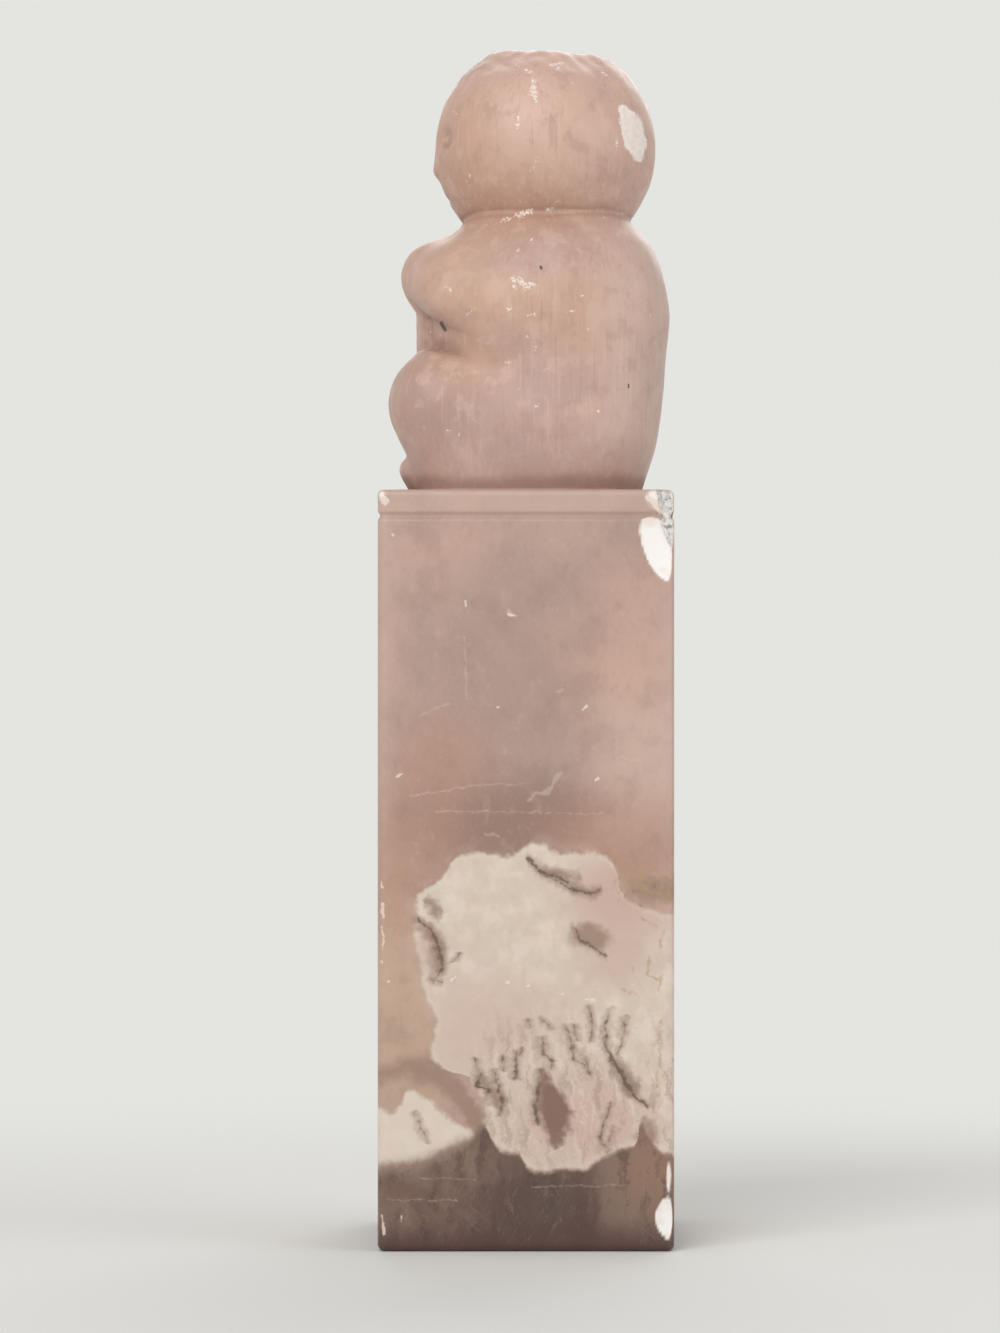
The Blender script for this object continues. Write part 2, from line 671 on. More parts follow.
def patch_effect():
    """A soft egg-shaped patch: the place's scaled distance from a centre, eased over a soft edge."""
    tree, g, given, result = effect(
        "patch", {"Place": (0, 0, 0), "Centre": (0, 0, 0), "Radii": (1, 1, 1), "Softness": 0.3}
    )
    away = g.vector("DIVIDE", g.vector("SUBTRACT", given["Place"], given["Centre"]), given["Radii"])
    gap = g.vector("LENGTH", away, output=1)
    outer = g.plus(1, given["Softness"])
    inner = g.minus(1, given["Softness"])
    g.feed(result, g.ease(gap, outer, inner))
    return tree


def scratch_effect():
    """Fine scratches one way: noise drawn out along one axis, shown where it passes its middle value."""
    tree, g, given, result = effect(
        "scratches", {"Place": (0, 0, 0), "Turn": (0, 0, 0), "Stretch": (1, 1, 1), "Fineness": 0.02}
    )
    turning = {"Vector": given["Place"], "Rotation": given["Turn"]}
    turned = g.node("ShaderNodeVectorRotate", turning, rotation_type="EULER_XYZ")
    noise = g.noise(g.vector("MULTIPLY", turned, given["Stretch"]), 1, 1)
    gap = g.math("DIVIDE", g.math("ABSOLUTE", g.minus(noise, 0.5)), given["Fineness"])
    g.feed(result, g.ease(gap, 1, 0.2))
    return tree


# Round ends of strokes: how far past the end, and how wide there, as shares of the half width
TAPER = (0.5, 0.8), (0.8, 0.45), (0.95, 0)


def laned(strokes, axis, closest=0.05, widest=3, clear=0.3, between=-0.8):
    """The strokes that go mostly one way, set one after another in as few lanes as hold them.

    Each point is its place along, its place aside and its half width. A stroke is wider aside than across
    where it leans, tapers off past both ends, and the lane's half width is below nought between strokes.
    """
    runs = [[stroke[start:start + 3] for start in range(0, len(stroke), 3)] for stroke in strokes]
    lanes = []
    for run in sorted(runs, key=lambda run: min(run[0][axis], run[-1][axis])):
        reach = [abs(run[-1][way] - run[0][way]) for way in (0, 1)]
        if (reach[1] >= reach[0]) != (axis == 1):
            continue
        if run[-1][axis] < run[0][axis]:
            run = run[::-1]
        points = []
        for index, point in enumerate(run):
            before, after = run[max(index - 1, 0)], run[min(index + 1, len(run) - 1)]
            lean = (after[1 - axis] - before[1 - axis]) / max(after[axis] - before[axis], closest)
            points.append((point[axis], point[1 - axis], point[2] * min(math.hypot(1, lean), widest)))
        (a, b, width), (c, d, last) = points[0], points[-1]
        for out, share in TAPER:
            points.insert(0, (a - out * width, b, share * width))
            points.append((c + out * last, d, share * last))
        points.insert(0, (a - width - clear, b, between))
        points.append((c + last + clear, d, between))
        lane = next((lane for lane in lanes if lane[-1][0] + closest < points[0][0]), None)
        if lane is None:
            lanes.append(points)
        else:
            lane += points
    return lanes


# Soft tones, one over the other: colour, centre, radii, softness and strength
BLOCK_TONES = [
    ("dusk", (12.5, -1.5, 46.5), (12, 7.5, 13), 0.8, 0.75),
    ("dusk_deep", (12.5, -1.2, 36.2), (8, 9.5, 3.6), 0.7, 0.95),
    ("foot_warm", (12.5, 0.5, 35.2), (8, 14, 2.6), 0.9, 0.4),
    ("rust", (12.5, -7.4, 41), (6, 3.6, 3.6), 0.85, 0.75),
    ("rust", (12.5, 8.6, 34.8), (6, 5.6, 3.6), 0.7, 0.95), ("pale", (12.5, 9.8, 43.5), (6, 4, 7), 0.8, 0.7),
    ("rust_pale", (12.5, 8.4, 49), (5, 4, 3.2), 0.9, 0.42),
    ("blush", (12.5, -8, 59), (5, 3.4, 2.8), 0.8, 0.6), ("dusk", (12.5, 3, 56), (6, 5.5, 2.4), 0.8, 0.5),
    ("dusk_deep", (-12.5, 3, 44), (9, 8, 9), 0.8, 0.5), ("rust", (-12.5, -8, 36), (8, 5, 7), 0.8, 0.5),
    ("dusk", (0, -12.5, 50), (9, 6, 10), 0.8, 0.7), ("rust", (5, -12.5, 41), (5, 6, 5), 0.8, 0.5),
    ("pale", (-7, -12.5, 45), (5, 6, 9), 0.8, 0.6), ("dusk_deep", (-3, 12.5, 42), (9, 6, 8), 0.8, 0.6),
    ("tan", (12.5, -12.5, 24), (14, 6, 9.5), 0.5, 0.9),
    ("tan_deep", (12.5, -10, 18), (6, 2.8, 3.4), 0.6, 0.5),
    ("rust", (12.5, -10.6, 32.6), (6, 5, 5.6), 0.8, 0.75),
    ("tan_deep", (12.5, -9.5, 13.6), (6, 4.5, 1.8), 0.8, 0.8),
    ("blush", (12.5, 9.5, 55), (4, 3.4, 3.2), 0.8, 0.7),
    ("chip", (12.6, 10.9, 63.3), (3, 0.8, 0.75), 0.5, 0.75),
]
CLOUD_TONES = [
    ("rosy", (12.5, -3, 18.6), (9, 6.8, 4.4), 0.6, 0.85),
    ("rosy_deep", (12.5, 8.2, 30), (8, 4.8, 4), 0.6, 0.95),
    ("rosy", (12.5, 4.5, 10.5), (8, 7, 4.2), 0.6, 0.8),
    ("rosy_deep", (12.5, -8.3, 25.4), (4, 1.2, 2.2), 0.7, 0.8),
    ("rosy_deep", (12.5, 5.6, 11.2), (8, 4.6, 3.4), 0.8, 0.7),
    ("rosy_deep", (12.5, 7.6, 24.6), (6, 3, 2.2), 0.8, 0.75), ("rosy", (0, -12.5, 24), (7, 6, 6), 0.7, 0.7),
    ("rosy_deep", (-4, 12.5, 22), (7, 6, 6), 0.7, 0.6),
]
FOOT_TONES = [
    ("foot_dark", (12.5, 1, 3.4), (10, 5.2, 4.6), 0.7, 0.85),
    ("foot_pale", (12.5, 9.4, 4.8), (6, 3.6, 4.2), 0.7, 0.8),
    ("foot_warm", (12.5, 10.4, 7), (4, 2.6, 3), 0.7, 0.95),
    ("foot_red", (12.5, 4.8, 3), (4, 1.2, 3.4), 0.8, 0.6),
    ("foot_dark", (-3, -12.5, 4), (8, 6, 5), 0.7, 0.7), ("foot_red", (-9, 12.5, 3), (4, 5, 3.4), 0.8, 0.6),
    ("foot_dark", (-12.5, 2, 4), (6, 8, 5), 0.7, 0.7),
]
FIGURE_TONES = [
    ("ochre", (11, -6, 81.5), (8, 4, 4), 0.8, 0.8), ("ochre", (11, 3.5, 79), (8, 5.5, 3.8), 0.8, 0.7),
    ("mauve", (11, -4, 73), (8, 5, 4.2), 0.8, 0.8), ("mauve", (11, 3.5, 86.8), (8, 7, 3.4), 0.8, 0.7),
    ("mauve", (11, 4, 68), (8, 7, 2.6), 0.8, 0.6), ("pale", (11, 10, 76), (6, 3.4, 12), 0.8, 0.7),
    ("mauve", (0, -11, 72), (6, 6, 5), 0.8, 0.6), ("ochre", (0, -11, 83), (8, 6, 4), 0.8, 0.6),
    ("mauve", (-4, 12, 76), (8, 6, 7), 0.8, 0.6), ("ochre", (-11, 1, 80), (6, 8, 5), 0.8, 0.6),
    ("head", (0, 1.75, 94.8), (11, 11, 8.4), 0.25, 1), ("cheek", (6, -7, 93), (10, 5, 8), 0.8, 0.7),
    ("cheek_deep", (5, -2, 88.2), (13, 9, 3.6), 0.7, 0.8), ("nape", (6, 10, 92.5), (9, 5, 7.5), 0.8, 0.6),
    ("brow", (9.5, 1.5, 96), (6, 5, 5), 0.8, 0.7), ("cheek", (-7, 2, 93), (5, 7, 7), 0.8, 0.5),
    ("cheek_deep", (9, -7.5, 77.6), (7, 3.4, 1.5), 0.5, 0.85),
    ("hem", (11, -8, 72.5), (8, 4, 4.5), 0.9, 0.95), ("cheek", (11, -2.4, 80), (4, 3, 2.2), 0.8, 0.5),
    ("cheek_deep", (10, -5, 74.8), (6, 3.6, 2.2), 0.8, 0.9),
]

# Hand-drawn edges on the +X side, as points across and up: cloud's top, foot and left edge, and bank's top
ACROSS = (-12.5, 12.5)
UP = (0, 64)
LEFT_UP = (0, 40)
CLOUD_TOP = [
    (-12.5, 26), (-9.5, 29.7), (-8.4, 30.6), (-7.1, 31.6), (-6.4, 32.7), (-5.6, 33.4), (-4.3, 33.7),
    (-2.7, 33.6), (-1.6, 33.4), (-0.8, 33.7), (0.1, 34.3), (1.2, 34.5), (2, 34.1), (2.9, 33.7), (5.7, 33.7),
    (6.8, 33.3), (7.5, 32.3), (7.9, 30.9), (8.4, 30.1), (9.3, 29.3), (10.4, 28.9), (12.5, 28.6),
]
CLOUD_FOOT = [
    (-12.5, 6.9), (-9.8, 7.4), (-7.5, 8.1), (-5.8, 9), (-4.4, 9.8), (-3.9, 10.6), (-3.3, 10.2),
    (-2.75, 9.15), (-1.6, 8.3), (-0.5, 8.2), (-0.1, 7.5), (0.3, 6.9), (1.2, 6.7), (2.9, 6.85), (5.1, 6.9),
    (5.95, 7.6), (7.1, 8.25), (8.5, 8.7), (9.15, 8.8), (9.5, 10.4), (9.8, 10.8), (10.2, 9.9), (10.9, 8.8),
    (12.5, 7.9),
]
CLOUD_LEFT = [
    (0, -3), (8, -3.2), (10.5, -4), (12.2, -3.4), (13.8, -4.3), (14.6, -4.7), (14.9, -5.6), (15.3, -7),
    (16.2, -7.9), (17.3, -8.1), (18.1, -7.9), (19.4, -7.7), (20.7, -8.2), (22, -8.8), (23.5, -8.8),
    (24.9, -9.1), (26.5, -9.5), (28.5, -9.4), (30, -9.2), (40, -8.4),
]
BANK_TOP = [
    (-12.5, 12.4), (-11.2, 11.9), (-10.6, 12.5), (-10.3, 13.3), (-9.8, 13.8), (-8.4, 13.1), (-7, 12),
    (-5.6, 10.8), (-4.3, 9.9), (-3.8, 8), (12.5, 0),
]

# Strokes on the +X side, each as its points one after another: across, up and half width
VEINS = [
    (0.3, 33.1, 0.14, 0.8, 32.4, 0.2, 1.3, 31.9, 0.2, 2.9, 31.5, 0.2, 3.5, 31.1, 0.11),
    (4, 30.5, 0.17, 5.4, 30.2, 0.22, 6.3, 30.5, 0.08), (1.7, 31.6, 0.11, 4.3, 30.4, 0.11),
    (-9, 28, 0.14, -8.2, 27.3, 0.17, -7.7, 26.4, 0.22, -7.3, 25.1, 0.26, -7.1, 23.9, 0.2, -7.8, 22.8, 0.17),
    (-8, 22.9, 0.14, -7, 22.8, 0.08), (-6.1, 24.5, 0.08, -5.6, 25, 0.06),
    (4, 27.3, 0.08, 4.6, 26.3, 0.15, 5.7, 25.6, 0.15, 6.7, 24.9, 0.08), (0.1, 19.5, 0.08, 0.3, 18.9, 0.08),
    (1.4, 19.7, 0.08, 2.1, 18.8, 0.06), (1.4, 18.1, 0.14, 1.5, 16.7, 0.17, 2.2, 16.1, 0.14),
    (2.1, 16.1, 0.08, 2.2, 15.3, 0.06), (3.4, 19.1, 0.08, 3.8, 17.6, 0.11, 4.1, 16.3, 0.14, 4.9, 15.6, 0.08),
    (4, 19.1, 0.08, 4.3, 17.8, 0.08), (5.2, 20.7, 0.08, 5.6, 19.2, 0.11, 5.4, 17.6, 0.06),
    (7.1, 20.5, 0.06, 6.6, 19, 0.14, 6.7, 17.3, 0.17, 7.4, 16, 0.25, 8.5, 14.1, 0.28, 9.1, 13.1, 0.17,
     10.2, 12.3, 0.14),
    (8.5, 19.8, 0.06, 8.1, 17.8, 0.08, 7.8, 16.7, 0.08), (-0.8, 16.9, 0.14, -0.9, 14.6, 0.22),
    (-0.4, 17.1, 0.08, -0.6, 16.4, 0.08), (-1.9, 16.5, 0.08, -1.9, 15.3, 0.08),
    (-4.3, 16.3, 0.08, -3.8, 15, 0.14, -4.1, 14, 0.28, -3.1, 13.6, 0.11),
    (-2.7, 15.3, 0.11, -2.4, 13.9, 0.2, -2, 12.5, 0.17, -2.2, 11.5, 0.08),
    (1.3, 15.3, 0.08, 0.8, 12.5, 0.22, 1, 10.8, 0.2), (4.9, 16.3, 0.06, 5.4, 15, 0.08),
    (7.1, 12.5, 0.08, 6.7, 11.3, 0.08, 6.3, 9.6, 0.11, 6.9, 8.5, 0.08), (7.4, 10.5, 0.08, 6.8, 8.9, 0.06),
    (-9.3, 11.7, 0.05, -8.9, 10.4, 0.07, -8.3, 9.3, 0.05),
]
HAZES = [
    (7.6, 15.8, 0.35, 9, 13.8, 0.6), (1.3, 32.1, 0.35, 4.2, 31.3, 0.4), (4.2, 30.4, 0.3, 6.2, 30.3, 0.25),
    (-8.6, 27.6, 0.35, -7.4, 26, 0.5, -7.2, 23.8, 0.5), (-8.2, 29.4, 0.25, -7.4, 28.6, 0.3),
    (-3.9, 14.6, 0.35, -2.3, 12.8, 0.45), (9.9, 11.4, 0.3, 10.3, 9.6, 0.8), (-4.4, 12.8, 0.3, -4, 11, 0.4),
]
BANDS = [(-12.6, 14.6, 0.5, -10.2, 15.6, 0.7, -8.2, 15.3, 0.9, -6.2, 13.9, 1, -4.6, 12, 0.9, -4, 10.4, 0.5)]
KERNEL = [(1.3, 15.4, 0.12, 1.8, 13.6, 0.75, 2.5, 11.6, 1.4, 2.6, 10.2, 0.8, 2.4, 9.2, 0.3)]
AMBERS = [
    (9, 24.1, 0.06, 9.2, 23.1, 0.08), (10.4, 24.9, 0.1, 10.2, 23.3, 0.1, 10.9, 23.1, 0.06),
    (7.9, 22.1, 0.08, 9.3, 21.7, 0.08), (11.4, 19.5, 0.08, 11.2, 17.8, 0.1),
    (11.3, 17.6, 0.1, 11.2, 15.6, 0.1), (11.1, 15.3, 0.1, 11.1, 13.9, 0.08),
    (11.4, 23.5, 0.08, 11.2, 21.5, 0.1), (9.7, 28.2, 0.08, 11, 27.4, 0.08),
    (11.6, 27, 0.08, 11.3, 25.6, 0.08),
]
HIGH_MARKS = [
    (-11.3, 60.4, 0.08, -11.2, 60.3, 0.08), (-5.1, 54.8, 0.09, -5.1, 54.3, 0.08),
    (-1.6, 53.7, 0.1, -1, 53.6, 0.08), (-2.5, 45.8, 0.08, -2.4, 45.8, 0.08), (4.8, 45.7, 0.08, 5.2, 46, 0.1),
    (5.8, 39.8, 0.11, 6.1, 40, 0.1), (-10.9, 40, 0.08, -10.4, 40.2, 0.06),
    (-12.25, 63.8, 0.12, -11.8, 63.1, 0.3),
]
LOW_MARKS = [
    (-11.6, 22.8, 0.11, -11.5, 22.8, 0.11), (-1.7, 22.7, 0.11, -1.5, 22.7, 0.11),
    (0, 22.4, 0.11, 0.2, 22.4, 0.11), (-6.3, 22.9, 0.11, -6, 23.1, 0.08), (2.5, 21.8, 0.07, 3.2, 21.7, 0.06),
    (5.1, 21.2, 0.08, 5.7, 21.1, 0.06), (10.35, 63.4, 0.3, 11.3, 62.9, 0.6),
    (-12.2, 3.1, 0.08, -12, 1.5, 0.14), (-12.1, 31.2, 0.1, -12.1, 30.7, 0.1),
    (-12.1, 29.4, 0.1, -12.1, 28.1, 0.1), (-12.1, 27.4, 0.07, -12.1, 25.4, 0.09),
    (-10.5, 3.1, 0.06, -10.5, 2.4, 0.03), (-12.2, 24.6, 0.1, -12.2, 24.3, 0.1),
]
PALE_MARKS = [
    (0.2, 38, 0.12, 0.8, 38.6, 0.16, 2, 38.8, 0.24, 2.3, 39.6, 0.2, 3, 40.3, 0.06),
    (-3.4, 35.2, 0.12, -2.4, 35, 0.1), (-8.9, 45.1, 0.06, -6.4, 46.2, 0.04),
    (-9.8, 38.4, 0.05, -4.7, 39.2, 0.06, -0.2, 39.4, 0.04), (-7.5, 37.1, 0.04, 6.5, 36.9, 0.04),
    (-5.1, 51.8, 0.04, -5, 46.5, 0.04), (-11.7, 4.4, 0.03, -5.8, 4.4, 0.03),
    (0.4, 5.5, 0.02, 8.4, 5.6, 0.02), (-9, 6.3, 0.02, -4.2, 6.1, 0.02), (-1.5, 53.9, 0.18, -0.9, 53.5, 0.18),
    (2.6, 47.1, 0.1, 3.1, 47.3, 0.1), (8, 41.6, 0.05, 9.6, 41.3, 0.04),
]
DARK_NICKS = [
    (-7.2, 78.55, 0.13, -6.85, 77.95, 0.13), (1.25, 83.05, 0.1, 1.3, 82.9, 0.1),
    (8.7, 73.2, 0.06, 8.7, 72.9, 0.06),
]

# Pools of haze and a lump of crackle, by centre and radii
POOLS = [((12.5, 5.5, 26.5), (5, 1.5, 0.95)), ((12.5, 11, 30.6), (5, 2.2, 1.1))]
LUMP = (12.5, 10.1, 30.8), (4, 2.8, 1.7)

# Glints and inclusions on the +X side: start and end, each across and up, and one half width
GLINTS = [
    (-1.2, 82, -0.9, 81.3, 0.2), (-0.6, 81.9, 0.1, 81.3, 0.24), (0.1, 81.6, 0.8, 81.5, 0.12),
    (-0.7, 84.5, -0.7, 84.4, 0.12), (0.5, 85.5, 0.5, 85.3, 0.12), (-6.7, 81.5, -6.4, 81.2, 0.14),
    (-5, 79, -4.1, 79.7, 0.04), (-1.7, 79.4, -1.3, 79.4, 0.1), (0.2, 78.9, 0.7, 79, 0.1),
    (0.1, 77.2, 0.2, 77.1, 0.14), (0.7, 76.6, 0.8, 76, 0.08), (-1.7, 74.9, -1.3, 75, 0.08),
    (0.9, 71.4, 1, 71.2, 0.12), (4.8, 80.8, 4.8, 80.5, 0.1), (3.5, 79.3, 4.4, 79.3, 0.04),
    (5.1, 78.1, 5.3, 77.7, 0.1), (6.1, 70.9, 6.1, 70.8, 0.1), (-6.8, 69.4, -5.4, 68.8, 0.04),
    (-0.7, 73, -0.5, 71.8, 0.06), (1.4, 74.1, 2.2, 74.7, 0.02), (-2, 87.2, -1.3, 87.5, 0.17),
    (-0.7, 87.7, 0.4, 88, 0.24), (1.7, 88.2, 2.3, 88.3, 0.12), (-0.1, 100.2, 0.5, 99.8, 0.14),
    (0.7, 99.3, 0.4, 97.8, 0.12), (0.8, 99, 0.8, 97.1, 0.12), (-0.6, 96, -0.7, 95, 0.14),
    (2.2, 100.6, 3.1, 100.8, 0.14), (2.7, 100.4, 2.9, 100, 0.12), (6.6, 100.2, 6.9, 99.9, 0.14),
    (-1.6, 101.2, -0.5, 100.5, 0.06), (-6.2, 96.8, -5.9, 96.6, 0.06), (0.2, 91.4, 0.8, 91.6, 0.08),
    (0.9, 92.5, 1, 92, 0.06), (-4.9, 91.3, -4.7, 91, 0.06), (7.7, 94.2, 7.8, 93.4, 0.1),
    (10.8, 96.3, 10.8, 96, 0.06),
]
INCLUSIONS = [(8.4, 96.8, 9.1, 95.6, 0.2), (9, 95.7, 9.4, 94.1, 0.75), (9.3, 94.2, 9.6, 93, 0.25)]

# Scratches of two slants: turn, stretch and fineness
SCRATCHES = ((0.5, 0.1, 0.3), (0.9, 2.2, 0.12), 0.008), ((-0.9, 0.3, -0.2), (0.9, 1.9, 0.1), 0.007)


class Stone:
    """The stone's places in millimetres, plain and bent, and the shared effects that are painted on them."""

    def __init__(self, g, finish):
        self.g, self.finish = g, finish
        self.patch, self.scratches = patch_effect(), scratch_effect()
        self.place = g.vector("SCALE", g.node("ShaderNodeTexCoord", output="Object"), scale=MM)
        self.x, self.y, self.z = g.parts(self.place)
        self.inward = g.ease(self.x, 12.4, -12.5)
        self.facing = g.ease(self.x, 8.8, 11.6)
        fine = self.unrest(0.95, 4, 0.62, 0.75)
        drift = g.vector("MULTIPLY", self.unrest(0.07, 1, 0.5, 26), g.joined(*[self.inward] * 3))
        self.bent = g.vector("ADD", g.vector("ADD", self.place, fine), drift)
        self.swayed = g.vector("ADD", self.bent, self.unrest(0.22, 2, 0.5, 0.9))
        self.crisp = g.vector("ADD", self.place, self.unrest(1.2, 2, 0.5, 0.6))
        self.wavy = g.vector("ADD", self.place, self.unrest(0.7, 3, 0.6, 1.9))
        self.figure = g.ease(self.z, BLOCK_HEIGHT - 0.25, BLOCK_HEIGHT + 0.15)

    def unrest(self, scale, detail, roughness, reach):
        """A vector that wanders evenly about nought, as far as the reach times its noise."""
        g = self.g
        split = g.tree.nodes.new("ShaderNodeSeparateColor")
        g.feed(split.inputs[0], g.noise(self.place, scale, detail, roughness, "Color"))
        around = g.vector("SUBTRACT", g.joined(*split.outputs), (0.5, 0.5, 0.5))
        return g.vector("SCALE", around, scale=reach)

    def noise(self, scale, detail=2, roughness=0.5, stretch=None, shift=None, place=None):
        """Noise over the plain place or another one, which may be stretched along the axes or shifted."""
        place = self.place if place is None else place
        if stretch:
            place = self.g.vector("MULTIPLY", place, stretch)
        if shift:
            place = self.g.vector("ADD", place, shift)
        return self.g.noise(place, scale, detail, roughness)

    def spot(self, place, centre, radii, softness):
        inputs = {"Place": place, "Centre": centre, "Radii": radii, "Softness": softness}
        return self.g.group(self.patch, inputs)

    def scratched(self, turn, stretch, fineness):
        inputs = {"Place": self.place, "Turn": turn, "Stretch": stretch, "Fineness": fineness}
        return self.g.group(self.scratches, inputs)

    def gap(self, place, strokes):
        """How far outside the nearest stroke a place is, in millimetres, and less than nought inside it."""
        g, nearest = self.g, None
        _, across, up = g.parts(place)
        for axis, along, aside in ((1, up, across), (0, across, up)):
            lanes = laned(strokes, axis)
            if not lanes:
                continue
            low, high = min(lane[0][0] for lane in lanes) - 0.2, max(lane[-1][0] for lane in lanes) + 0.2
            bottom = min(point[1] for lane in lanes for point in lane) - 1
            span = max(point[1] for lane in lanes for point in lane) + 3 - bottom
            share = g.line(along, 1 / (high - low), -low / (high - low))
            aside = g.line(aside, 1 / span, -bottom / span)
            closest = None
            for lane in lanes:
                lane = [(low, *lane[0][1:])] + lane + [(high, *lane[-1][1:])]
                middle = [((a - low) / (high - low), (b - bottom) / span) for a, b, _ in lane]
                width = [((a - low) / (high - low), (w + 1) / span) for a, _, w in lane]
                middle, width = g.curve(share, middle, "VECTOR"), g.curve(share, width, "VECTOR")
                gap = g.minus(g.math("ABSOLUTE", g.minus(aside, middle)), width)
                closest = gap if closest is None else g.least(closest, gap)
            closest = g.line(closest, span, 1)
            nearest = closest if nearest is None else g.least(nearest, closest)
        return nearest


class Coat:
    """A colour under coats of the finish's tones, each as strong as a share times its masks."""

    def __init__(self, stone, colour):
        self.stone, self.g, self.colour = stone, stone.g, colour

    def lay(self, tone, strength, *masks):
        mask = self.g.times(*masks, strength)
        self.colour = self.g.blend(mask, self.colour, getattr(self.stone.finish, tone))

    def shade(self, tone, strength, source, low, high, *masks):
        """A coat that sets in as the source goes from low to high."""
        self.lay(tone, strength, self.g.ease(source, low, high), *masks)

    def tones(self, place, tones):
        for tone, centre, radii, softness, strength in tones:
            self.lay(tone, strength, self.stone.spot(place, centre, radii, softness))


def block_colour(stone):
    """The block's body: mauve and rust clouds over pink grey, paler by the arrises and tan at low left."""
    g, finish = stone.g, stone.finish
    broad = stone.noise(0.12)
    medium = stone.noise(0.3, 4, 0.55, shift=(7, 3, 1))
    smudge = stone.noise(0.9, 4, 0.6, stretch=(0.8, 0.8, 0.55))
    coat = Coat(stone, g.blend(g.ease(broad, 0.42, 0.66, 0, 0.7), finish.block, finish.dusk))
    coat.shade("blush", 0.55, medium, 0.5, 0.68)
    coat.tones(stone.swayed, BLOCK_TONES)
    coat.shade("dusk_deep", 0.25, medium, 0.5, 0.34)
    coat.shade("dusk_deep", 0.16, smudge, 0.52, 0.7)
    coat.shade("pale", 0.16, smudge, 0.46, 0.3)
    flecks = stone.noise(1, 4, 0.65, stretch=(2.2, 2.2, 1.6))
    coat.shade("dusk_deep", 0.12, flecks, 0.54, 0.66)
    coat.shade("pale", 0.12, flecks, 0.44, 0.34)
    beside = g.least(g.math("ABSOLUTE", stone.x), g.math("ABSOLUTE", stone.y))
    coat.shade("pale", 0.4, beside, 10.3, 12.4, g.ease(stone.z, 27, 42, 0.2))
    coat.shade("pale", 0.4, stone.z, BLOCK_HEIGHT - 2.5, BLOCK_HEIGHT - 2)
    return coat, medium


